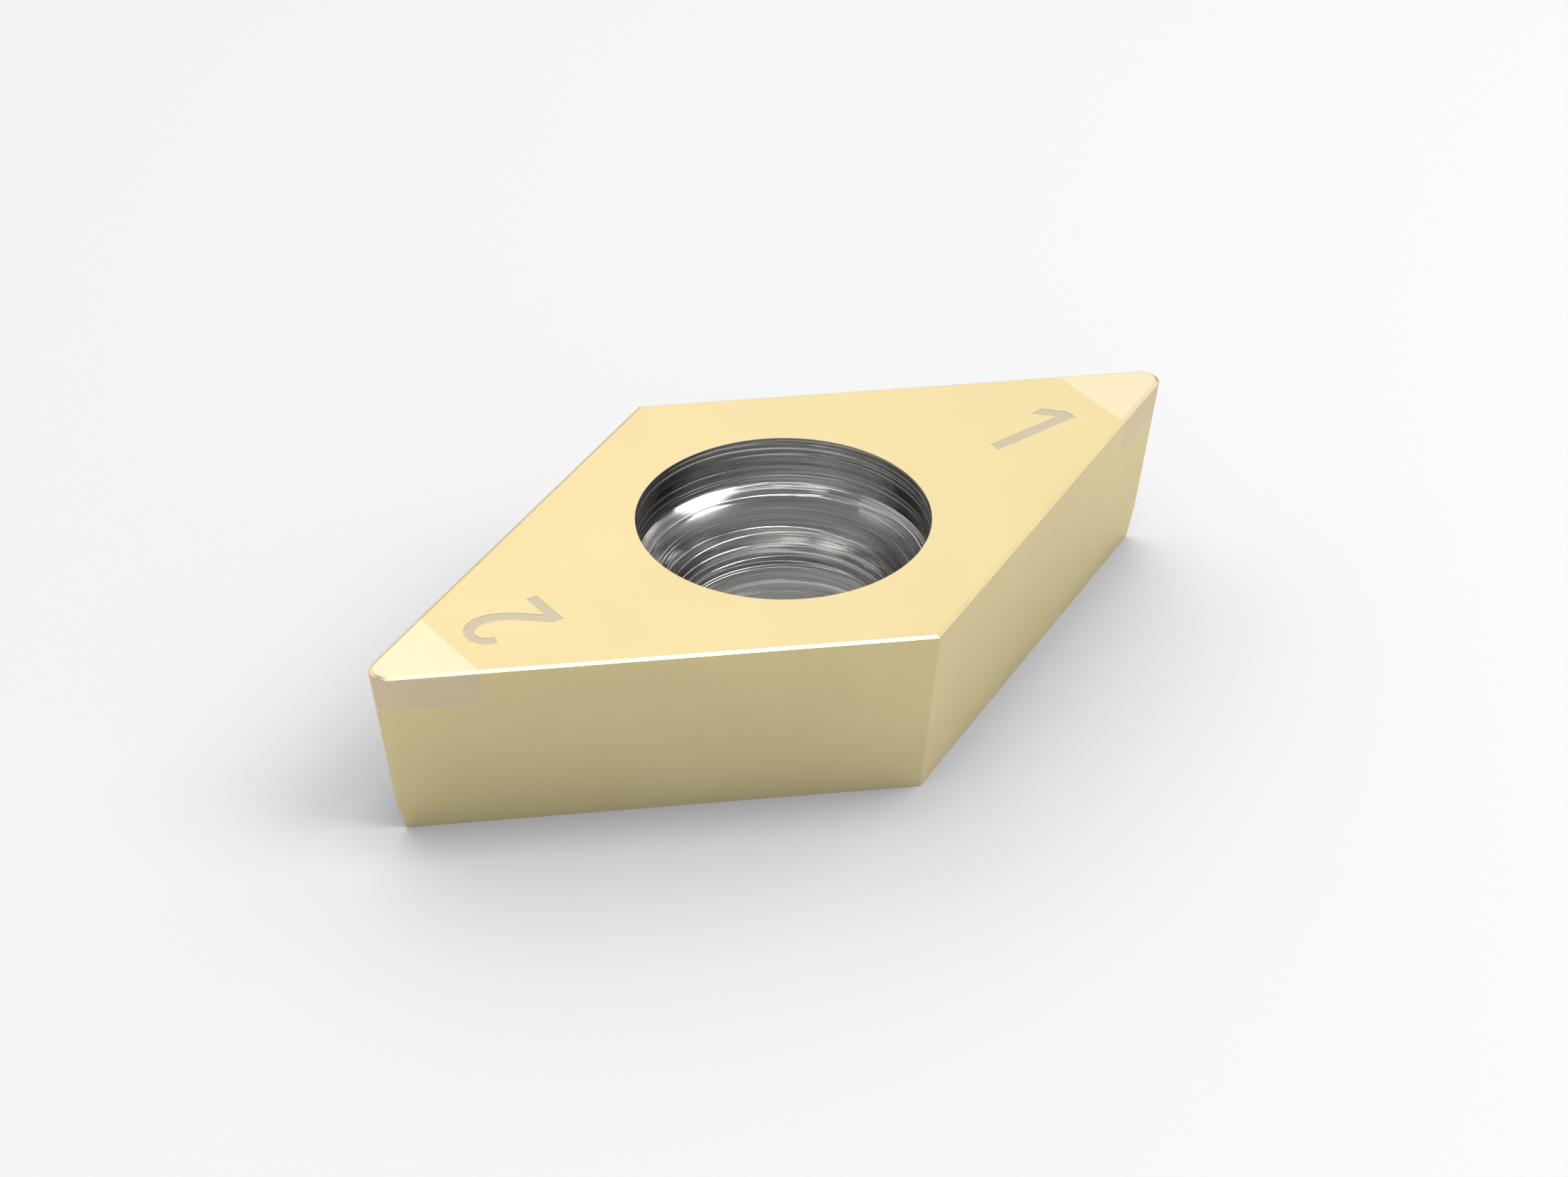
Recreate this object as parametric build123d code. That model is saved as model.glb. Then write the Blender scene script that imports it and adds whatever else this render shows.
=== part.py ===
from build123d import *

import os
from math import cos, degrees, radians, sin, sqrt, tan

# A diamond-shaped turning insert of coated carbide, with a cutting tip of boron nitride brazed
# into a pocket at each acute corner.
# Lengths are in millimetres and angles in degrees. The origin lies on the axis of the screw hole,
# in the plane of the seating face. +Z points up to the cutting face, and +X runs along the long
# diagonal to the first tip.

# Outline at the cutting face, and the lean of the flanks below it
inscribed_circle = 9.525
acute_angle = 55.0
thickness = 3.97
clearance_angle = 7.0
nose_radius = 0.4

# Land ground all round the cutting edge: its width along its own slope, and its fall
land_width = 0.10
land_angle = 25.0

# Tips: length from the nose back to the pocket's wall, and thickness
tip_length = 1.80
tip_thickness = 0.80

# Film of braze that holds a tip, as thick behind it as under it
braze_thickness = 0.05

# Screw hole, from the cutting face down: a straight recess for the screw's head, a curved seat
# that runs out into the throat, and a small chamfer where the throat leaves the seating face
recess_diameter = 6.10
recess_depth = 1.10
throat_diameter = 4.40
throat_height = 0.90
exit_chamfer = 0.15

# Room that a cut is given past the surfaces that it goes through
overshoot = 1.0

# Slopes, as run over rise
half_angle = radians(acute_angle / 2)
lean = tan(radians(clearance_angle))
land_fall = land_width * sin(radians(land_angle))
land_run = land_width * cos(radians(land_angle))

# Half the width across opposite flanks at the cutting face if it had no land, at the cutting
# edge, at the inner edge of the land and at the seating face
half_width = inscribed_circle / 2
edge_height = thickness - land_fall
edge_half_width = half_width - land_fall * lean
crown_half_width = edge_half_width - land_run
foot_half_width = half_width - thickness * lean

# Noses: the axis of their cones, their foremost point, and the height at which the radius has
# run out, because it shrinks on the way down as the flanks close in
half_diagonal = half_width / sin(half_angle)
nose_axis_x = half_diagonal - nose_radius / sin(half_angle)
nose_x = nose_axis_x + nose_radius
run_out_height = thickness - nose_radius / lean
edge_nose_radius = nose_radius - land_fall * lean
crown_nose_radius = edge_nose_radius - land_run

# Places of the tips and of the pockets that hold them
tip_back_x = nose_x - tip_length
tip_floor = thickness - tip_thickness
pocket_back_x = tip_back_x - braze_thickness
pocket_floor = tip_floor - braze_thickness


def flank_bar():
    """A long bar along X whose two sides are a pair of opposite flanks and their lands."""
    right_side = [(foot_half_width, 0), (edge_half_width, edge_height), (crown_half_width, thickness)]
    left_side = [(-y, z) for y, z in reversed(right_side)]
    section = make_face(Plane.YZ * Polyline(*right_side, *left_side, close=True))
    return extrude(section, amount=half_diagonal + overshoot, both=True)


def sharp_diamond():
    """The tapered diamond with all four corners still sharp, where two flank bars cross."""
    turn = degrees(half_angle)
    return Rot(0, 0, turn) * flank_bar() & Rot(0, 0, -turn) * flank_bar()


def beyond_nose_tangents():
    """Everything beyond the lines in which the flanks and lands touch the cones of the nose.

    Seen from the side, the two lines on the flanks start together at the point of the cone and
    run up to the cutting edge, and those on the lands fall back from there.
    """
    inset = sin(half_angle)
    point = (nose_axis_x, run_out_height)
    at_edge = (nose_axis_x + edge_nose_radius * inset, edge_height)
    at_crown = (nose_axis_x + crown_nose_radius * inset, thickness)
    above = thickness + overshoot
    side_view = Polyline(point, at_edge, at_crown, (at_crown[0], above), (2 * half_diagonal, above),
                         close=True)
    return extrude(make_face(Plane.XZ * side_view), amount=half_width, both=True)


def nose_cones():
    """The relieved nose and its land, turned as one profile about the nose's upright axis."""
    profile = Polyline((nose_axis_x, run_out_height), (nose_axis_x + edge_nose_radius, edge_height),
                       (nose_axis_x + crown_nose_radius, thickness), (nose_axis_x, thickness),
                       close=True)
    axis = Axis((nose_axis_x, 0, 0), (0, 0, 1))
    return revolve(make_face(Plane.XZ * profile), axis)


def bore():
    """The screw hole, turned about Z as one profile of recess, seat, throat and chamfer.

    The seat is an arc from the foot of the recess that meets the throat with no edge, so its
    radius follows from the step between the two diameters and the height that it takes up.
    """
    recess_radius = recess_diameter / 2
    throat_radius = throat_diameter / 2
    seat_step = recess_radius - throat_radius
    seat_rise = thickness - recess_depth - throat_height
    seat_radius = (seat_step**2 + seat_rise**2) / (2 * seat_step)
    middle_step = seat_radius - sqrt(seat_radius**2 - (seat_rise / 2) ** 2)
    seat_top = (recess_radius, throat_height + seat_rise)
    seat_middle = (throat_radius + middle_step, throat_height + seat_rise / 2)
    seat_foot = (throat_radius, throat_height)
    above = thickness + overshoot
    below = (throat_radius + exit_chamfer + overshoot, -overshoot)
    mouth = Polyline((0, above), (recess_radius, above), seat_top)
    seat = ThreePointArc(seat_top, seat_middle, seat_foot)
    throat = Polyline(seat_foot, (throat_radius, exit_chamfer), below, (0, -overshoot), (0, above))
    return revolve(make_face(Plane.XZ * (mouth + seat + throat)), Axis.Z)


def corner_block(back_x, floor):
    """A block that takes in all of the first acute corner beyond back_x and above floor."""
    length = half_diagonal - back_x + overshoot
    height = thickness - floor + overshoot
    block = Box(length, inscribed_circle, height, align=(Align.MIN, Align.CENTER, Align.MIN))
    return Pos(back_x, 0, floor) * block


def ground_blank():
    """The outside of the finished insert as one solid, before it is divided into its pieces."""
    beyond = beyond_nose_tangents()
    within_flanks = Box(2 * nose_x, inscribed_circle, 2 * thickness)
    nose = nose_cones() & beyond & within_flanks
    blank = sharp_diamond()
    for turn in (0, 180):
        blank = blank - Rot(0, 0, turn) * beyond + Rot(0, 0, turn) * nose
    return blank


def cutting_tip(blank):
    """The first tip: the corner of the blank behind its nose and above its pocket."""
    return blank & corner_block(tip_back_x, tip_floor)


def braze_joint(blank):
    """The film of braze between the first tip and its pocket's wall and floor."""
    pocket_fill = blank & corner_block(pocket_back_x, pocket_floor)
    return pocket_fill - corner_block(tip_back_x, tip_floor)


def insert_body(blank):
    """The carbide body, with the screw hole and a pocket at each acute corner."""
    pocket = corner_block(pocket_back_x, pocket_floor)
    return blank - bore() - pocket - Rot(0, 0, 180) * pocket


blank = ground_blank()
nodes = {"insert_body": insert_body(blank)}
for number, turn in ((1, 0), (2, 180)):
    nodes[f"cutting_tip_{number}"] = Rot(0, 0, turn) * cutting_tip(blank)
    nodes[f"braze_joint_{number}"] = Rot(0, 0, turn) * braze_joint(blank)

os.makedirs("parts", exist_ok=True)
for name, shape in nodes.items():
    export_step(shape, f"parts/{name}.step")
    print(name, "volume", round(shape.volume, 4), "mm3")
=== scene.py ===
# %% [markdown]
# # A turning insert in Blender
# This lesson dresses one small cutting tool: a diamond of cemented carbide under a thin gold
# coating, with a tip of boron nitride brazed into each acute corner and a bare turned hole for the
# screw. The solids of the drawing come in first as a fixed frame, and nothing here moves them.

# %% Load the solids of the drawing
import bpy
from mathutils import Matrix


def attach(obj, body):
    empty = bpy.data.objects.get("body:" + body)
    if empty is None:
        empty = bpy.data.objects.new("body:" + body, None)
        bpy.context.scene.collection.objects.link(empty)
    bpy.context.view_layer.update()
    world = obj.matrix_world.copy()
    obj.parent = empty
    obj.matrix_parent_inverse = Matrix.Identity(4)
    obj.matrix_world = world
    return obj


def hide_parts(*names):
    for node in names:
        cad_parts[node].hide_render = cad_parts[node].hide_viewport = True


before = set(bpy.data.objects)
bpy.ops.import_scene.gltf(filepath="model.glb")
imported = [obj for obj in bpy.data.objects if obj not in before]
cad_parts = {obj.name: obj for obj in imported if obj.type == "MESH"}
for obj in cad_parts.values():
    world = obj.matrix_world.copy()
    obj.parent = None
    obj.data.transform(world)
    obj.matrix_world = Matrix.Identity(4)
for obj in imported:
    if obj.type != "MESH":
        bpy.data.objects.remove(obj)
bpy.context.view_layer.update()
print("solids:", ", ".join(sorted(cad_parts)))

# %% Import what the rest needs
import bpy
import numpy as np
from math import atan2, cos, pi, radians, sin, sqrt, tan
from mathutils import Vector

# %% [markdown]
# ## The sizes
# The insert is a standard one, so a handful of sizes gives the whole shape. They are in
# millimetres and degrees, as on the drawing, and `MM` turns them into Blender's metres when a mesh
# is made. Two of them are too small for the drawing but not for the eye: the hone that takes the
# razor edge off the cutting edges, and the breaking of every other sharp edge by the coating.

# %% Sizes in millimetres and degrees
MM = 0.001
INSCRIBED_CIRCLE = 9.525
ACUTE_ANGLE = 55.0
THICKNESS = 3.97
CLEARANCE_ANGLE = 7.0
NOSE_RADIUS = 0.4
LAND_WIDTH = 0.10
LAND_ANGLE = 25.0
TIP_LENGTH = 1.80
TIP_THICKNESS = 0.80
BRAZE_THICKNESS = 0.05
RECESS_RADIUS = 3.05
RECESS_DEPTH = 1.10
THROAT_RADIUS = 2.20
THROAT_HEIGHT = 0.90
EXIT_CHAMFER = 0.15
HONE_RADIUS = 0.015
BROKEN_EDGE = 0.008

# %% Sizes that follow from them
half_angle = radians(ACUTE_ANGLE / 2)
lean = tan(radians(CLEARANCE_ANGLE))
land_fall = LAND_WIDTH * sin(radians(LAND_ANGLE))
land_run = LAND_WIDTH * cos(radians(LAND_ANGLE))
half_width = INSCRIBED_CIRCLE / 2
edge_height = THICKNESS - land_fall
edge_half_width = half_width - land_fall * lean
crown_half_width = edge_half_width - land_run
foot_half_width = half_width - THICKNESS * lean
nose_axis_x = (half_width - NOSE_RADIUS) / sin(half_angle)
tip_back_x = nose_axis_x + NOSE_RADIUS - TIP_LENGTH
tip_floor = THICKNESS - TIP_THICKNESS
print(f"nose axis at {nose_axis_x:.3f} mm, tips from {tip_back_x:.3f} mm, {tip_floor:.2f} mm up")

# %% [markdown]
# ## The outline
# Seen from above, the insert is a diamond whose two acute corners are round. It could be drawn as
# four lines and two arcs, but then every height would need its own drawing, because the flanks
# lean in. Instead the outline is written as a formula of the half width across the flanks, so that
# one function serves for the cutting edge, the land and the foot alike. The rounding shrinks as
# the half width does, and that is what makes the noses run out into a sharp corner near the foot.

# %% The columns of the grid: where each one stands on the outline
NOSE_STEPS = 10
SIDE_STEPS = 37
OBTUSE_STEPS = 3
HOLD = 0.004        # how close to a rounding a flat has its last point, in millimetres


def quarter_columns():
    """Direction and place of the columns from the tip of a nose to the obtuse corner's middle.

    The direction is that of the outline's outward normal. The place is 0 on the nose, 1 on the
    obtuse corner and rises evenly along the side between them. A column close to each end of the
    side keeps the rounding beside it from tinting the flat.
    """
    tangent = pi / 2 - half_angle
    side_length = half_width / tan(half_angle) + half_width * tan(half_angle)
    hold = HOLD / side_length
    side = np.concatenate([[hold], np.linspace(0, 1, SIDE_STEPS + 1)[1:-1], [1 - hold]])
    nose = np.linspace(0, tangent, NOSE_STEPS + 1)
    obtuse = np.linspace(tangent, pi / 2, OBTUSE_STEPS + 1)
    direction = np.concatenate([nose, np.full(side.size, tangent), obtuse])
    place = np.concatenate([np.zeros(nose.size), side, np.ones(obtuse.size)])
    return direction, place


def all_columns():
    """Direction, place, and the signs of X and Y, of the columns of all four quarters in order."""
    direction, place = quarter_columns()
    there, back = slice(0, -1), slice(-1, 0, -1)
    directions = [direction[there], pi - direction[back],
                  pi + direction[there], 2 * pi - direction[back]]
    places = [place[there], place[back], place[there], place[back]]
    count = direction.size - 1
    sign_x = np.repeat([1, -1, -1, 1], count)
    sign_y = np.repeat([1, 1, -1, -1], count)
    return np.concatenate(directions), np.concatenate(places), sign_x, sign_y


normal_angle, side_place, sign_x, sign_y = all_columns()
turn_angle = np.linspace(0, 2 * pi, normal_angle.size, endpoint=False)
print("columns round the insert:", normal_angle.size)

# %% The outline as a formula
def diamond(half_widths):
    """X and Y of the outline at each half width, one row per half width and one column per place.

    Formula: the centres of the corner arcs lie on the diagonals, at (half width - radius) over
    sin or cos of half the acute angle. A point stands at the mix of the two centres, plus the mix
    of the two radii along the normal.
    """
    width = np.atleast_1d(half_widths)[:, None]
    nose = np.maximum(NOSE_RADIUS - (half_width - width), BROKEN_EDGE)
    acute_x = (width - nose) / sin(half_angle) * sign_x * (1 - side_place)
    obtuse_y = (width - BROKEN_EDGE) / cos(half_angle) * sign_y * side_place
    radius = nose * (1 - side_place) + BROKEN_EDGE * side_place
    return acute_x + radius * np.cos(normal_angle), obtuse_y + radius * np.sin(normal_angle)


def circle(radii):
    """X and Y of circles of these radii about the hole's axis, with the same columns."""
    radius = np.atleast_1d(radii)[:, None]
    return radius * np.cos(turn_angle), radius * np.sin(turn_angle)


# %% [markdown]
# ## The section
# A cut through the middle of one flank shows the insert's section as one closed line: up the wall
# of the hole, out along the cutting face, over the land and the hone, down the flank and back
# under the insert. Carried round the hole's axis, this line becomes the whole body, with no seam.
# A flat that meets a small rounding gets one more point close beside it, so that its shading stays
# flat. Corners are rounded by the hone's radius or by the thickness that the coating adds.

# %% A rounded corner of the section
def unit(vector):
    """The vector brought to a length of 1."""
    return vector / np.linalg.norm(vector)


def rounded(before, corner, after, radius, steps=3):
    """Points of the arc that rounds a corner, with a point close before and after it.

    Formula: the arc touches both lines at radius / tan(half the angle between them), and its
    centre lies on the line that halves the angle, at radius / sin(half the angle).
    """
    corner = np.array(corner)
    back, ahead = unit(np.array(before) - corner), unit(np.array(after) - corner)
    half = np.arccos(back @ ahead) / 2
    reach = radius / tan(half)
    centre = corner + unit(back + ahead) * radius / sin(half)
    first, last = corner + back * reach - centre, corner + ahead * reach - centre
    share = np.linspace(0, 1, steps + 1)[:, None]
    spokes = (1 - share) * first + share * last
    arc = centre + radius * spokes / np.linalg.norm(spokes, axis=1, keepdims=True)
    return np.vstack([corner + back * (reach + HOLD), arc, corner + ahead * (reach + HOLD)])


# %% [markdown]
# ## The wall of the hole
# The screw's head sinks into a straight recess, and its curved underside draws the insert down on
# an arched seat that runs out into the throat. The photograph shows this wall bare and turned: a
# tool has left rings of uneven depth. Bump in a material would colour the wall but leave its rim
# and its outline smooth, so the larger rings are cut into the mesh, and only the finest are left
# to the material.

# %% The line of the hole and the rings on it
RING_SPACING = 0.02
RING_SLOPE = 0.018
RING_LENGTHS = np.geomspace(0.055, 0.32, 11)
RING_FADE = 0.1
EXIT_MARGIN = 2 * BROKEN_EDGE        # room for the rounded edges at both ends of the wall
RIM_MARGIN = 3 * BROKEN_EDGE
chance = np.random.default_rng(11)


def straight(start, end, spacing):
    """Points from start up to, but without, end."""
    count = max(1, round(np.hypot(*np.subtract(end, start)) / spacing))
    share = np.linspace(0, 1, count, endpoint=False)[:, None]
    return (1 - share) * np.array(start) + share * np.array(end)


def seat_arc(spacing):
    """The arched seat. Formula: an arc about a centre level with the throat's end, whose radius
    R = (step^2 + rise^2) / (2 step) brings it to the foot of the recess."""
    step = RECESS_RADIUS - THROAT_RADIUS
    rise = THICKNESS - RECESS_DEPTH - THROAT_HEIGHT
    radius = (step**2 + rise**2) / (2 * step)
    sweep = atan2(rise, radius - step)
    angle = np.linspace(0, sweep, max(1, round(radius * sweep / spacing)), endpoint=False)
    distance = THROAT_RADIUS + radius * (1 - np.cos(angle))
    return np.column_stack([distance, THROAT_HEIGHT + radius * np.sin(angle)])


def ring_depth(along):
    """Depth of the turned rings at lengths along the wall.

    Formula: a sum of waves from 0.055 to 0.32 mm long, all equally steep, with starts by chance,
    faded out over the last tenth of a millimetre at both ends.
    """
    starts = chance.uniform(0, 2 * pi, RING_LENGTHS.size)
    height = RING_SLOPE * RING_LENGTHS / (2 * pi) / sqrt(RING_LENGTHS.size / 2)
    waves = height * np.sin(2 * pi * along[:, None] / RING_LENGTHS + starts)
    ends = np.clip(np.minimum(along, along[-1] - along) / RING_FADE, 0, 1)
    return waves.sum(axis=1) * ends


def hole_wall(spacing, rings):
    """Distance and height of the wall's points, from the exit to near the mouth."""
    exit_edge = (THROAT_RADIUS + EXIT_CHAMFER - EXIT_MARGIN, EXIT_MARGIN)
    throat_foot = (THROAT_RADIUS, EXIT_CHAMFER)
    seat_foot = (THROAT_RADIUS, THROAT_HEIGHT)
    recess_foot = (RECESS_RADIUS, THICKNESS - RECESS_DEPTH)
    rim = (RECESS_RADIUS, THICKNESS - RIM_MARGIN)
    wall = np.vstack([straight(exit_edge, throat_foot, spacing),
                      straight(throat_foot, seat_foot, spacing),
                      seat_arc(spacing),
                      straight(recess_foot, rim, spacing)])
    if rings:
        steps = np.diff(wall, axis=0, append=[rim])
        lengths = np.hypot(*steps.T)
        along = np.concatenate([[0], np.cumsum(lengths)[:-1]])
        outward = np.column_stack([steps[:, 1], -steps[:, 0]]) / lengths[:, None]
        wall = wall + outward * ring_depth(along)[:, None]
    return wall


# %% [markdown]
# ## The whole surface
# Each point of the section gets a weight: 0 where it goes round a circle, in the hole, and 1 where
# it goes round the diamond, outside. On the cutting face and the seating face the weight runs from
# one to the other. All rows and columns are worked out at once as arrays, and the faces close on
# themselves both ways, so the mesh is watertight.

# %% Rows of the section, and the surface that they make
FLAT_ROWS = 4
CROWN_STEPS = 1
HONE_STEPS = 5
ROWS_TO_LAND = CROWN_STEPS + 1
ROWS_TO_FLANK = CROWN_STEPS + 3 + HONE_STEPS + 1


def section_rows(spacing, rings):
    """Circle radius, diamond half width, weight and height of each row, and the rows at which
    the cutting face, the land and the flank start."""
    exit_edge = (THROAT_RADIUS + EXIT_CHAMFER, 0)
    throat_foot = (THROAT_RADIUS, EXIT_CHAMFER)
    recess_foot = (RECESS_RADIUS, THICKNESS - RECESS_DEPTH)
    mouth, crown = (RECESS_RADIUS, THICKNESS), (crown_half_width, THICKNESS)
    edge, foot = (edge_half_width, edge_height), (foot_half_width, 0)
    run_out = (NOSE_RADIUS - BROKEN_EDGE) / lean
    wall = hole_wall(spacing, rings)
    rim = rounded(recess_foot, mouth, crown, BROKEN_EDGE)
    outside = np.vstack([
        rounded(mouth, crown, edge, BROKEN_EDGE, steps=CROWN_STEPS),
        rounded(crown, edge, foot, HONE_RADIUS, steps=HONE_STEPS),
        [(half_width - run_out * lean, THICKNESS - run_out)],
        rounded(edge, foot, exit_edge, BROKEN_EDGE)])
    exit_rows = rounded(foot, exit_edge, throat_foot, BROKEN_EDGE)
    blend = np.linspace(0, 1, FLAT_ROWS + 2)[1:-1]
    rows = [(r, 0, 0, z) for r, z in np.vstack([wall, rim])]
    rows += [(rim[-1][0], outside[0][0], share, THICKNESS) for share in blend]
    land_start = len(rows) + ROWS_TO_LAND
    flank_start = len(rows) + ROWS_TO_FLANK
    rows += [(0, w, 1, z) for w, z in outside]
    rows += [(exit_rows[0][0], outside[-1][0], share, 0) for share in blend[::-1]]
    rows += [(r, 0, 0, z) for r, z in exit_rows]
    face_start = len(wall) + len(rim) // 2
    return np.array(rows), [face_start, land_start, flank_start]


def swept(rows):
    """The surface's points, as rows x columns x 3, in millimetres.

    Formula: point = (1 - weight) * circle(radius) + weight * diamond(half width), at the row's
    height. Rows on a circle have no half width, and get one here that the weight of 0 cancels.
    """
    radius, width, weight, height = rows.T
    circle_x, circle_y = circle(radius)
    diamond_x, diamond_y = diamond(np.maximum(width, foot_half_width / 2))
    weight = weight[:, None]
    x = (1 - weight) * circle_x + weight * diamond_x
    y = (1 - weight) * circle_y + weight * diamond_y
    z = np.broadcast_to(height[:, None], x.shape)
    return np.stack([x, y, z], axis=-1)


def ring_faces(row_count, column_count):
    """Quads between neighbouring rows and columns of a grid that closes on itself both ways."""
    row, column = np.mgrid[0:row_count, 0:column_count]
    below, right = (row + 1) % row_count, (column + 1) % column_count
    corners = [(row, column), (below, column), (below, right), (row, right)]
    return np.stack([r * column_count + c for r, c in corners], axis=-1).reshape(-1, 4)


# %% [markdown]
# ## The finishes
# Every finish below is a node tree, put together by one helper that adds a node with its settings
# and its links. Colours are written as on a paint card, and one function turns them to Blender's
# linear light. Patterns are laid out in Object coordinates, which are metres here, so another
# small helper turns the real size of a grain into a scale.

# %% Helpers for colours, scales and nodes
def linear(hex_colour):
    """Linear RGBA of an sRGB hex colour.

    Formula: c / 12.92 up to 0.04045, and ((c + 0.055) / 1.055)^2.4 above it.
    """
    srgb = np.array([int(hex_colour[i:i + 2], 16) / 255 for i in (1, 3, 5)])
    curve = np.where(srgb <= 0.04045, srgb / 12.92, ((srgb + 0.055) / 1.055) ** 2.4)
    return (*curve.tolist(), 1.0)


def grains(size_mm):
    """The scale at which a pattern on Object coordinates has features of this size."""
    return 1 / (size_mm * MM)


def add(tree, kind, inputs=None, output=None, **settings):
    """Add a node and give back one of its outputs: the first, unless another is named.

    Inputs are numbers, colours or other nodes' outputs, by the socket's name, or by its number
    where two have one name.
    """
    node = tree.nodes.new("ShaderNode" + kind)
    for name, value in settings.items():
        setattr(node, name, value)
    sockets = {socket.name: socket for socket in node.inputs if socket.enabled}
    for name, value in (inputs or {}).items():
        socket = node.inputs[name] if isinstance(name, int) else sockets[name]
        if isinstance(value, bpy.types.NodeSocket):
            tree.links.new(value, socket)
        else:
            socket.default_value = value
    outputs = {socket.name: socket for socket in node.outputs if socket.enabled}
    return outputs[output] if output else next(iter(outputs.values()))


def new_finish(name, colour, metallic, roughness):
    """A material with a plain Principled shader, and its tree and shader for what follows."""
    material = bpy.data.materials.new(name)
    material.use_nodes = True
    material.diffuse_color = linear(colour)
    shader = material.node_tree.nodes["Principled BSDF"]
    shader.inputs["Base Color"].default_value = linear(colour)
    shader.inputs["Metallic"].default_value = metallic
    shader.inputs["Roughness"].default_value = roughness
    return material, material.node_tree, shader


# %% [markdown]
# ### Titanium nitride
# The gold of the insert is titanium nitride, a ceramic that conducts like a metal, laid down in a
# vacuum a few thousandths of a millimetre thick. So it shades as a metal whose colour is that of
# its reflection. The coating follows the ground that it lies on, so there is one finish for each
# way in which that ground was made: blasted with fine grit on the cutting face, a satin sheen with
# a grain of about 0.03 mm, ground on the flanks, and honed on the narrow land, which is almost a
# mirror. Boron nitride is not carbide, and its face is lapped, so the same coating looks paler on
# the tips. The grain is bump, and slow, faint changes of tone stand for a film that is a little
# thicker in places. The real grain is about a third as coarse as it is drawn, which would be too
# fine to show. The braze is finished as the carbide beside it, so that its edge doesn't show.
# The flanks' tones are paler than the faces': painted light that lifts the shade the flanks mirror
# from the board.

# %% A coating over a ground of a given grain
TONE_PATCH = 3.0                     # millimetres from one change of tone to the next
POLISH_SPREAD = 0.03
NOISE_LOW, NOISE_HIGH = 0.3, 0.7     # between these lie nearly all values of a noise


def nitride_coating(name, light_tone, deep_tone, roughness, grain_mm, grain_depth_mm):
    """Titanium nitride: two close tones mixed by a slow noise, over a fine grain as bump."""
    material, tree, shader = new_finish(name, light_tone, 1.0, roughness)
    place = add(tree, "TexCoord", output="Object")
    slow = add(tree, "TexNoise", {"Vector": place, "Scale": grains(TONE_PATCH), "Detail": 2.0})
    amount = add(tree, "MapRange", {"Value": slow, "From Min": NOISE_LOW, "From Max": NOISE_HIGH})
    tone = add(tree, "Mix", {"Factor": amount, "A": linear(light_tone), "B": linear(deep_tone)},
               data_type="RGBA")
    tree.links.new(tone, shader.inputs["Base Color"])
    fine = add(tree, "TexNoise", {"Vector": place, "Scale": grains(grain_mm), "Detail": 2.0,
                                  "Roughness": 0.6})
    polish = add(tree, "MapRange", {"Value": fine, "From Min": NOISE_LOW, "From Max": NOISE_HIGH,
                                    "To Min": roughness - POLISH_SPREAD,
                                    "To Max": roughness + POLISH_SPREAD})
    tree.links.new(polish, shader.inputs["Roughness"])
    ground = add(tree, "Bump", {"Height": fine, "Distance": grain_depth_mm * MM})
    tree.links.new(ground, shader.inputs["Normal"])
    return material


# %% The nine coatings: light tone, deep tone, roughness, and the grain's width and depth in mm
BLASTED = ("#DAC997", "#D7C593", 0.38, 0.03, 0.0010)
# The flank tones, on carbide, braze and boron nitride, are paler than the face tones as painted
# light
GROUND_WITH_PAINTED_LIGHT = ("#E2D6AA", "#DFD2A6", 0.66, 0.03, 0.0006)
HONED = ("#DDCA99", "#DAC695", 0.20, 0.02, 0.0001)
LAPPED_TIP = ("#D9CBA8", "#D7C9A5", 0.26, 0.015, 0.0001)
GROUND_TIP_WITH_PAINTED_LIGHT = ("#DCCDB0", "#DACAAD", 0.60, 0.02, 0.0003)
HONED_TIP = ("#DFCDA8", "#DDCBA5", 0.28, 0.02, 0.0001)

coating_on_face = nitride_coating("titanium_nitride_on_blasted_carbide", *BLASTED)
coating_on_flank = nitride_coating("titanium_nitride_on_ground_carbide", *GROUND_WITH_PAINTED_LIGHT)
coating_on_land = nitride_coating("titanium_nitride_on_honed_carbide", *HONED)
coating_on_tip_face = nitride_coating("titanium_nitride_on_lapped_boron_nitride", *LAPPED_TIP)
coating_on_tip_flank = nitride_coating("titanium_nitride_on_ground_boron_nitride", *GROUND_TIP_WITH_PAINTED_LIGHT)
coating_on_tip_land = nitride_coating("titanium_nitride_on_honed_boron_nitride", *HONED_TIP)
coating_on_braze_face = nitride_coating("titanium_nitride_on_lapped_silver_braze", *BLASTED)
coating_on_braze_land = nitride_coating("titanium_nitride_on_honed_silver_braze", *HONED)
coating_on_braze_flank = nitride_coating("titanium_nitride_on_ground_silver_braze", *GROUND_WITH_PAINTED_LIGHT)
print("coatings:", coating_on_face.name, "and eight more")

# %% [markdown]
# ### Marks of the laser
# The numbers beside the tips are burnt into the coating by a laser, line by line, a few
# thousandths of a millimetre deep. The burnt coating is greyer and duller than the rest, with a
# speckle as wide as the laser's spot, about 0.03 mm.

# %% Burnt coating
LASER_SPOT = 0.03
BURNT_GRAIN_DEPTH = 0.001


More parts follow.
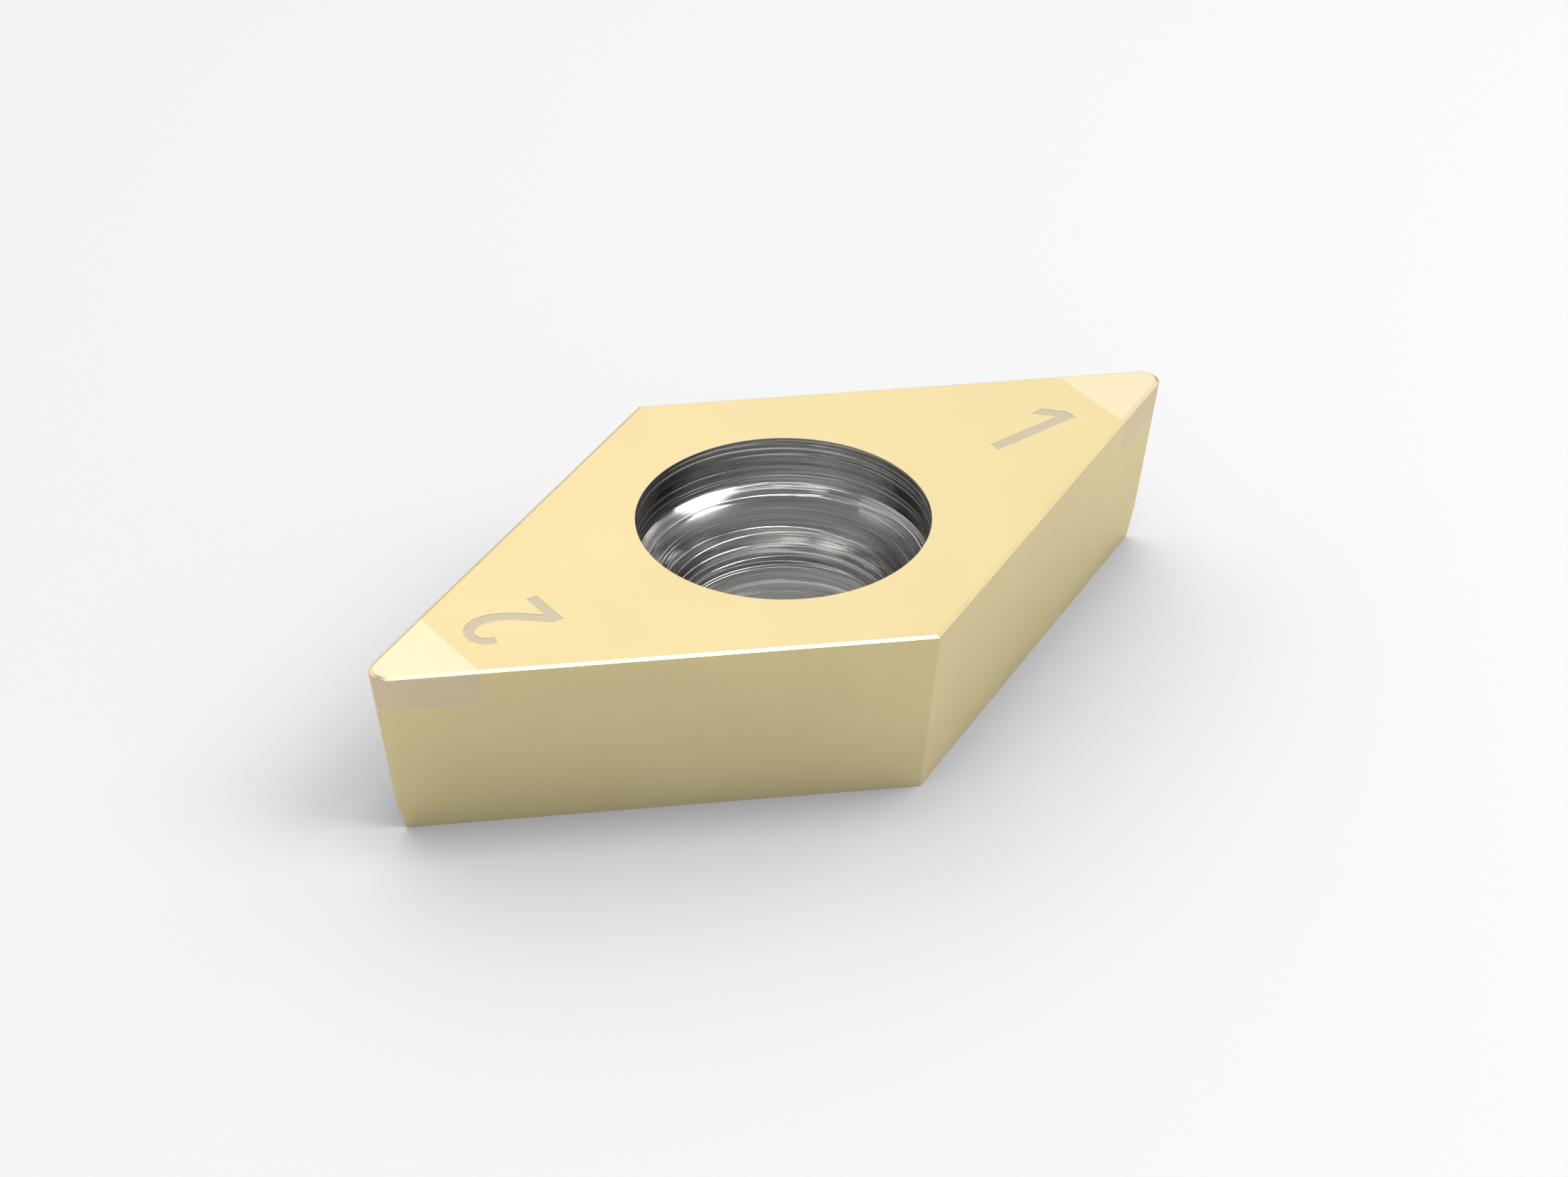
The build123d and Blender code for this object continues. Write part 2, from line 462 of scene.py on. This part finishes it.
def burnt_coating():
    """Titanium nitride dulled by a laser: a speckle as wide as the laser's spot."""
    material, tree, shader = new_finish("laser_burnt_titanium_nitride", "#C6BBA2", 1.0, 0.5)
    place = add(tree, "TexCoord", output="Object")
    speckle = add(tree, "TexNoise", {"Vector": place, "Scale": grains(LASER_SPOT), "Detail": 1.0})
    amount = add(tree, "MapRange", {"Value": speckle, "From Min": NOISE_LOW,
                                    "From Max": NOISE_HIGH})
    tone = add(tree, "Mix", {"Factor": amount, "A": linear("#CCC1A8"), "B": linear("#C0B59C")},
               data_type="RGBA")
    tree.links.new(tone, shader.inputs["Base Color"])
    ground = add(tree, "Bump", {"Height": speckle, "Distance": BURNT_GRAIN_DEPTH * MM})
    tree.links.new(ground, shader.inputs["Normal"])
    return material


burnt_mark = burnt_coating()

# %% [markdown]
# ### The bare wall of the hole
# The hole was plugged while the insert was coated, so its wall is the bare grey metal, with the
# marks of the tool that turned it. A mark runs round the wall for a good part of a turn and is
# only hundredths of a millimetre wide. The pattern is therefore a noise in a space of its own: the
# direction round the axis, as a point on a small circle so that it has no seam, and the height,
# stretched. The sharp lines are where a noise crosses its middle value, because such lines are
# thin, run on for long and keep uneven distances, as the scores of a worn tool do. Smooth and dull
# streaks take turns, so a lamp shows as a sharp spot with a soft skirt of streaks round it.

# %% Bare turned metal
# Width along the axis in millimetres, and turns, for the broad, the slow and the fine streaks
STREAKS = ((0.12, 0.35), (0.30, 0.10), (0.04, 1.0))
SCORE_WIDTH = 0.02                  # how far from its middle value a noise still makes a score
STREAK_LOW, STREAK_HIGH = 0.35, 0.65


def turned_metal():
    """Bare metal with turned streaks: noise slow round the axis and fast along it.

    Formula: place = (turns x/r, turns y/r, z/width). A score is 1 where its noise is 0.5 and falls
    to 0 at 0.02 from there. The height in micrometres is 9 times the score lines, 6 times the broad
    streaks and 3 times the fine ones. The score lines are also painted near white: a painted glint.
    """
    material, tree, shader = new_finish("bare_turned_hard_metal", "#C0BFBD", 1.0, 0.12)
    place = add(tree, "TexCoord", output="Object")
    across = add(tree, "VectorMath", {0: place, 1: (1, 1, 0)}, operation="MULTIPLY")
    direction = add(tree, "VectorMath", {0: across}, operation="NORMALIZE")
    streaks = []
    for width_mm, turns in STREAKS:
        height = add(tree, "VectorMath", {0: place, 1: (0, 0, grains(width_mm))},
                     operation="MULTIPLY")
        stretch = add(tree, "VectorMath", {0: direction, 1: (turns, turns, 0), 2: height},
                      operation="MULTIPLY_ADD")
        streaks.append(add(tree, "TexNoise", {"Vector": stretch, "Scale": 1.0, "Detail": 2.0}))
    broad, slow, fine = streaks
    off_middle = add(tree, "Math", {0: slow, 1: 0.5}, operation="SUBTRACT")
    off_middle = add(tree, "Math", {0: off_middle}, operation="ABSOLUTE")
    scores_and_painted_glints = add(tree, "MapRange", {"Value": off_middle, "From Max": SCORE_WIDTH, "To Min": 1.0,
                                    "To Max": 0.0})
    height = add(tree, "Math", {0: broad, 1: 2.0, 2: fine}, operation="MULTIPLY_ADD")
    height = add(tree, "Math", {0: scores_and_painted_glints, 1: 3.0, 2: height}, operation="MULTIPLY_ADD")
    grain = add(tree, "MapRange", {"Value": fine, "From Min": STREAK_LOW, "From Max": STREAK_HIGH})
    ground = add(tree, "Mix", {"Factor": grain, "A": linear("#A8A7A5"), "B": linear("#CAC9C7")},
                 data_type="RGBA")
    # The scores are real marks with real bump, and their near-white tone here is a painted glint
    tone = add(tree, "Mix", {"Factor": scores_and_painted_glints, "A": ground, "B": linear("#FAFAF8")},
               data_type="RGBA")
    polish = add(tree, "MapRange", {"Value": broad, "From Min": STREAK_LOW, "From Max": STREAK_HIGH,
                                    "To Min": 0.06, "To Max": 0.25})
    grooves = add(tree, "Bump", {"Height": height, "Distance": 0.003 * MM})
    tree.links.new(tone, shader.inputs["Base Color"])
    tree.links.new(polish, shader.inputs["Roughness"])
    tree.links.new(grooves, shader.inputs["Normal"])
    return material


bare_wall = turned_metal()
print("finishes:", ", ".join(material.name for material in bpy.data.materials))

# %% [markdown]
# ## Making the meshes
# A helper puts points in millimetres into a mesh in metres. Flat shading would show the columns of
# the hole, and smooth shading would smear the sharp edges that the cuts below leave, so the mesh
# is shaded smooth and its sharp edges are marked by their angle.

# %% Put points and faces into a mesh
SHARP = radians(32)         # edges that bend by more than this stay sharp
COARSE_SPACING = 1.0        # for the blanks of the tips and the braze, whose holes are cut off


def new_piece(name, points, faces):
    """A mesh object with its points, given in millimetres, where they belong."""
    mesh = bpy.data.meshes.new(name)
    mesh.from_pydata((np.asarray(points).reshape(-1, 3) * MM).tolist(), [], faces)
    piece = bpy.data.objects.new(name, mesh)
    bpy.context.scene.collection.objects.link(piece)
    return piece


def blank_piece(name, spacing, rings, *zone_finishes):
    """The insert as one closed mesh, before the pockets are cut. Its zones have a finish each:
    the wall of the hole, the cutting face, the land, and the flanks with the seating face."""
    rows, zone_starts = section_rows(spacing, rings)
    points = swept(rows)
    piece = new_piece(name, points, ring_faces(*points.shape[:2]).tolist())
    finishes = list(dict.fromkeys(zone_finishes))
    for finish in finishes:
        piece.data.materials.append(finish)
    number = np.array([finishes.index(finish) for finish in zone_finishes])
    zone = np.digitize(np.arange(len(rows)), zone_starts)
    finish_numbers = np.repeat(number[zone], points.shape[1])
    piece.data.polygons.foreach_set("material_index", finish_numbers.astype(np.int32))
    return piece


body = blank_piece("carbide_body", RING_SPACING, True,
                   bare_wall, coating_on_face, coating_on_land, coating_on_flank)
tip = blank_piece("boron_nitride_tip_1", COARSE_SPACING, False,
                  bare_wall, coating_on_tip_face, coating_on_tip_land, coating_on_tip_flank)
braze = blank_piece("braze_film_1", COARSE_SPACING, False,
                    bare_wall, coating_on_braze_face, coating_on_braze_land, coating_on_braze_flank)
print("body before cutting:", len(body.data.polygons), "quads")

# %% [markdown]
# ## Cutting the pockets
# In the workshop the pockets are ground out of the blank, so here they are cut out of it too, by a
# Boolean with a plain block. The tip and the braze are what the same blocks leave of a second,
# coarser blank. So the land, the hone and the flanks run straight across all three pieces, as they
# do on the real insert, which is ground once after brazing.

# %% Prisms and the cut
OVERSHOOT = 1.0             # how far a cutting block stands out over the face, in millimetres


def new_prism(name, outline, low, high):
    """A closed prism on a flat outline, anticlockwise from above, between two heights."""
    count = len(outline)
    points = [np.column_stack([outline, np.full(count, z)]) for z in (low, high)]
    here = np.arange(count)
    ahead = (here + 1) % count
    sides = np.column_stack([here, ahead, ahead + count, here + count])
    caps = [here[::-1].tolist(), (here + count).tolist()]
    return new_piece(name, np.vstack(points), sides.tolist() + caps)


def corner_block(name, back_x, floor):
    """A block over all of the corner on +X beyond back_x and above floor."""
    far, side = 2 * half_width / sin(half_angle), half_width
    outline = [(back_x, -side), (far, -side), (far, side), (back_x, side)]
    return new_prism(name, outline, floor, THICKNESS + OVERSHOOT)


def cut(piece, tool, operation):
    """Apply a Boolean of the piece with the tool, and keep the result as the piece's mesh."""
    modifier = piece.modifiers.new("cut", "BOOLEAN")
    modifier.operation = operation
    modifier.solver = "EXACT"
    modifier.object = tool
    if tool.data.materials:
        modifier.material_mode = "TRANSFER"
    evaluated = piece.evaluated_get(bpy.context.evaluated_depsgraph_get())
    mesh = bpy.data.meshes.new_from_object(evaluated)
    piece.modifiers.remove(modifier)
    piece.data = mesh
    mesh.name = piece.name


def half_turned(piece, name):
    """A copy of the piece, half a turn on about the hole's axis: (x, y) becomes (-x, -y)."""
    points = np.empty(len(piece.data.vertices) * 3)
    piece.data.vertices.foreach_get("co", points)
    copy = piece.copy()
    copy.name = name
    copy.data = piece.data.copy()
    copy.data.name = name
    copy.data.vertices.foreach_set("co", (points.reshape(-1, 3) * (-1, -1, 1)).ravel())
    bpy.context.scene.collection.objects.link(copy)
    return copy


# %% Tips, braze and pockets
tip_block = corner_block("tip_block", tip_back_x, tip_floor)
pocket_block = corner_block("pocket_block", tip_back_x - BRAZE_THICKNESS,
                            tip_floor - BRAZE_THICKNESS)
other_pocket_block = half_turned(pocket_block, "other_pocket_block")
cut(tip, tip_block, "INTERSECT")
cut(braze, pocket_block, "INTERSECT")
cut(braze, tip_block, "DIFFERENCE")
cut(body, pocket_block, "DIFFERENCE")
cut(body, other_pocket_block, "DIFFERENCE")
for piece in (body, tip, braze):
    print(piece.name, "has", len(piece.data.polygons), "faces")

# %% [markdown]
# ## The numbers beside the tips
# Each tip has its number, so that the operator knows which corner is worn. The 1 is a plain
# outline of seven corners. The 2 is a stroke: it starts at the free end of its hook, goes over the
# top on an ellipse, sweeps down to the left on a curve and ends at the base bar. Both are drawn
# flat and cut into the face as prisms 0.004 mm deep, which carry the burnt finish into the cut.

# %% Outlines of the numbers, in millimetres on the cutting face
MARK_DEPTH = 0.004
MARK_OVERSHOOT = 0.1
ONE = [(5.175, -0.5), (7.325, -0.4), (7.31, -0.13), (6.95, 0.2825), (6.6375, 0.2625),
       (7.0, -0.1625), (5.18, -0.2375)]
HOOK_START = 167
HOOK_ACROSS, HOOK_UP, HOOK_MIDDLE = 0.38, 0.44, 1.40
SWEEP_CORNERS = np.array([(0.38, 1.40), (0.38, 1.02), (0.15, 0.80), (-0.40, 0.15)])
BASE_BAR = [(-0.4975, 0.25), (-0.4975, 0.0), (0.4975, 0.0), (0.4975, 0.2375), (-0.165, 0.2375)]
STROKE_PLACES = [0, 0.3, 0.62, 0.8, 1.0]
STROKE_WIDTHS = [0.23, 0.21, 0.27, 0.25, 0.25]
TWO_FOOT = (-5.7175, -0.0275)


def two_stroke():
    """Middle line of the 2's hook and sweep, across and up.

    Formula: an ellipse (across cos t, middle + up sin t) from t = 167 degrees to 0, and then the
    cubic curve (1-s)^3 A + 3 (1-s)^2 s B + 3 (1-s) s^2 C + s^3 D of the four corners A to D.
    """
    t = np.radians(np.linspace(HOOK_START, 0, 25))
    hook = np.column_stack([HOOK_ACROSS * np.cos(t), HOOK_MIDDLE + HOOK_UP * np.sin(t)])
    s = np.linspace(0, 1, 15)[1:, None]
    a, b, c, d = SWEEP_CORNERS
    sweep = (1 - s)**3 * a + 3 * (1 - s)**2 * s * b + 3 * (1 - s) * s**2 * c + s**3 * d
    return np.vstack([hook, sweep])


def two_outline():
    """The 2's outline: its middle line set off to both sides by half the stroke's width, then
    closed round the base bar. The stroke is thinnest over the top and widest down the right."""
    line = two_stroke()
    along = np.gradient(line, axis=0)
    along /= np.linalg.norm(along, axis=1, keepdims=True)
    side = np.column_stack([-along[:, 1], along[:, 0]])
    share = np.linspace(0, 1, len(line))
    width = np.interp(share, STROKE_PLACES, STROKE_WIDTHS)[:, None]
    outer, inner = line + side * width / 2, line - side * width / 2
    return np.vstack([BASE_BAR, outer[-3::-1], inner[:-2]])


# The foot of the 2 is towards the hole and its top towards the tip
glyph = two_outline()
TWO = np.column_stack([TWO_FOOT[0] - glyph[:, 1], TWO_FOOT[1] + glyph[:, 0]])
print("the 1 has", len(ONE), "corners and the 2 has", len(TWO))

# %% Cut the numbers into the cutting face
for name, outline in (("mark_of_one", ONE), ("mark_of_two", TWO)):
    laser = new_prism(name, outline, THICKNESS - MARK_DEPTH, THICKNESS + MARK_OVERSHOOT)
    laser.data.materials.append(burnt_mark)
    cut(body, laser, "DIFFERENCE")
    bpy.data.objects.remove(laser)
for block in (tip_block, pocket_block, other_pocket_block):
    bpy.data.objects.remove(block)
print("the body's finishes:", [material.name for material in body.data.materials])

# %% [markdown]
# ## The second corner and the frame
# The insert looks the same after half a turn, so the second tip and its braze are the first ones
# with their points turned. Every piece then takes the place of its solid in the frame and rides on
# the one body that the frame has, because nothing on an insert moves.

# %% Second tip and braze, shading, and places in the frame
other_tip = half_turned(tip, "boron_nitride_tip_2")
other_braze = half_turned(braze, "braze_film_2")
pieces = [(body, "insert_body", "coated_carbide"),
          (tip, "cutting_tip_1", "coated_boron_nitride"),
          (other_tip, "cutting_tip_2", "coated_boron_nitride"),
          (braze, "braze_joint_1", "braze"),
          (other_braze, "braze_joint_2", "braze")]
for piece, node, slot in pieces:
    piece.data.shade_smooth()
    piece.data.set_sharp_from_angle(angle=SHARP)
    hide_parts(node)
    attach(piece, "root")
    print(piece.name, "stands for", node, "with", len(piece.data.polygons), "faces")

# %% [markdown]
# ## Floor and light
# The insert lies on a pale matt board. The light was worked out from the photograph: how the grey
# of the board falls off round the insert tells which parts of the sky the insert hides there, and
# each bright spot on the bare wall and on the lands tells where a lamp stands. A bright wall behind
# the insert shines in the gold of the cutting face. A soft lamp high on the right casts the short
# shadow to the left and is the white spot in the hole. Two lamps overhead, a wide and a small one,
# light the board and are the white line on the front land. A strip over the camera, which is
# fainter at one end, draws the lines on the arched seat, and two faint glows lift the far lands
# and the flank on the right. The rest of the room is dim, so the hole is dark. Two low panels on
# the camera's side stand too low to be seen from the hole, but they shine in the cutting face when
# the insert is seen from behind. All lamps are ellipses, whose reflections taper to their ends as
# those in the photograph do. The gold would throw yellow light on the board, which the photograph
# doesn't show, so light that comes off a mirror-like surface is left out there.

# %% Floor
FLOOR_SIZE = 3000.0
TOOTH_WIDTH = 0.4
TOOTH_DEPTH = 0.002


def matt_board():
    """A pale matt board: white card with a fine, faint tooth."""
    material, tree, shader = new_finish("pale_matt_board", "#F1F1F1", 0.0, 0.9)
    shader.inputs["Specular IOR Level"].default_value = 0.1
    place = add(tree, "TexCoord", output="Object")
    tooth = add(tree, "TexNoise", {"Vector": place, "Scale": grains(TOOTH_WIDTH), "Detail": 3.0})
    ground = add(tree, "Bump", {"Height": tooth, "Distance": TOOTH_DEPTH * MM})
    tree.links.new(ground, shader.inputs["Normal"])
    return material


half_floor = FLOOR_SIZE / 2
corners = [(-half_floor, -half_floor, 0), (half_floor, -half_floor, 0),
           (half_floor, half_floor, 0), (-half_floor, half_floor, 0)]
floor = new_piece("floor", corners, [(0, 1, 2, 3)])
floor.data.materials.append(matt_board())
print("floor:", FLOOR_SIZE * MM, "m wide")

# %% Room: dim, a little brighter low down than overhead, with a bright wall behind the insert
LOW_LEVEL = 0.39
HIGH_LEVEL = 0.24
WALL_LEVEL = 1.42
WALL_HEADING = 66.0
WALL_HEIGHT = 34.0
WALL_SHARPNESS = 6.0        # the higher, the narrower the bright wall is


def direction_of(heading, elevation):
    """Unit vector towards a heading, in degrees from +X towards +Y, and an elevation."""
    return (cos(radians(heading)) * cos(radians(elevation)),
            sin(radians(heading)) * cos(radians(elevation)), sin(radians(elevation)))


world = bpy.data.worlds.new("studio_room")
bpy.context.scene.world = world
world.use_nodes = True
room = world.node_tree
towards = add(room, "TexCoord", output="Generated")
facing = add(room, "VectorMath", {0: towards, 1: direction_of(WALL_HEADING, WALL_HEIGHT)},
             operation="DOT_PRODUCT")
front_half = add(room, "Math", {0: facing, 1: 0.0}, operation="MAXIMUM")
lobe = add(room, "Math", {0: front_half, 1: WALL_SHARPNESS}, operation="POWER")
height = add(room, "SeparateXYZ", {"Vector": towards}, output="Z")
dim = add(room, "MapRange", {"Value": height, "To Min": LOW_LEVEL, "To Max": HIGH_LEVEL})
level = add(room, "Math", {0: lobe, 1: WALL_LEVEL, 2: dim}, operation="MULTIPLY_ADD")
background = room.nodes["Background"]
background.inputs["Color"].default_value = linear("#FFFFFF")
room.links.new(level, background.inputs["Strength"])
print("room:", LOW_LEVEL, "to", HIGH_LEVEL, "and its bright wall:", WALL_LEVEL)

# %% Lamps
def soft_lamp(name, heading, elevation, distance, half_angles, radiance):
    """An elliptical lamp that faces the insert, at a distance in millimetres. Its half angles are
    how far it reaches sideways and up, as seen from the insert.

    Formula: power in watts = radiance x pi x area, and area = pi/4 x width x height.
    """
    width, height = (2 * distance * tan(radians(angle)) * MM for angle in half_angles)
    data = bpy.data.lights.new(name, "AREA")
    data.shape = "ELLIPSE"
    data.size, data.size_y = width, height
    data.energy = radiance * pi * pi / 4 * width * height
    lamp = bpy.data.objects.new(name, data)
    away = Vector(direction_of(heading, elevation))
    lamp.location = away * distance * MM
    lamp.rotation_euler = away.to_track_quat("Z", "Y").to_euler()
    bpy.context.scene.collection.objects.link(lamp)
    print(f"{name} is {width:.3f} m by {height:.3f} m and has {data.energy:.3f} W")


soft_lamp("lamp_on_the_right", -43, 52, 220, half_angles=(19, 19), radiance=3.2)
soft_lamp("wide_lamp_overhead", 0, 90, 300, half_angles=(22, 22), radiance=0.85)
soft_lamp("small_lamp_overhead", 15, 81, 290, half_angles=(8, 8), radiance=3.3)
soft_lamp("strip_over_the_camera", 240, 63, 300, half_angles=(27, 2.8), radiance=2.15)
soft_lamp("faint_end_of_the_strip", 208, 63, 300, half_angles=(21, 2.8), radiance=0.6)
soft_lamp("glow_on_the_right", 8, 34, 300, half_angles=(16, 18), radiance=0.75)
soft_lamp("glow_on_the_left", 125, 42, 300, half_angles=(31, 15), radiance=0.32)
soft_lamp("low_panel_in_front", -62, 8, 300, half_angles=(42, 7), radiance=0.92)
soft_lamp("low_panel_on_the_left", 190, 8, 300, half_angles=(28, 7), radiance=0.2)

# %% [markdown]
# ## The camera
# The camera's place and lens were worked out from the insert's edges in the photograph. It stands
# about 96 mm from the insert, looks down by 34 degrees and has no tilt to the side.

# %% Camera
CAMERA_PLACE = (-43.572188, -61.767997, 52.878233)
CAMERA_HEADING = 35.2074
CAMERA_PITCH = 33.8466
LENS = 100.5446
SENSOR_WIDTH = 36.0
NEAREST_IN_VIEW = 1.0

camera_data = bpy.data.cameras.new("camera")
camera_data.lens = LENS
camera_data.sensor_width = SENSOR_WIDTH
camera_data.clip_start = NEAREST_IN_VIEW * MM
camera = bpy.data.objects.new("camera", camera_data)
camera.location = [value * MM for value in CAMERA_PLACE]
camera.rotation_euler = (radians(90 - CAMERA_PITCH), 0, radians(-CAMERA_HEADING))
bpy.context.scene.collection.objects.link(camera)
bpy.context.scene.camera = camera
bpy.context.scene.view_settings.view_transform = "Standard"
bpy.context.scene.cycles.caustics_reflective = False
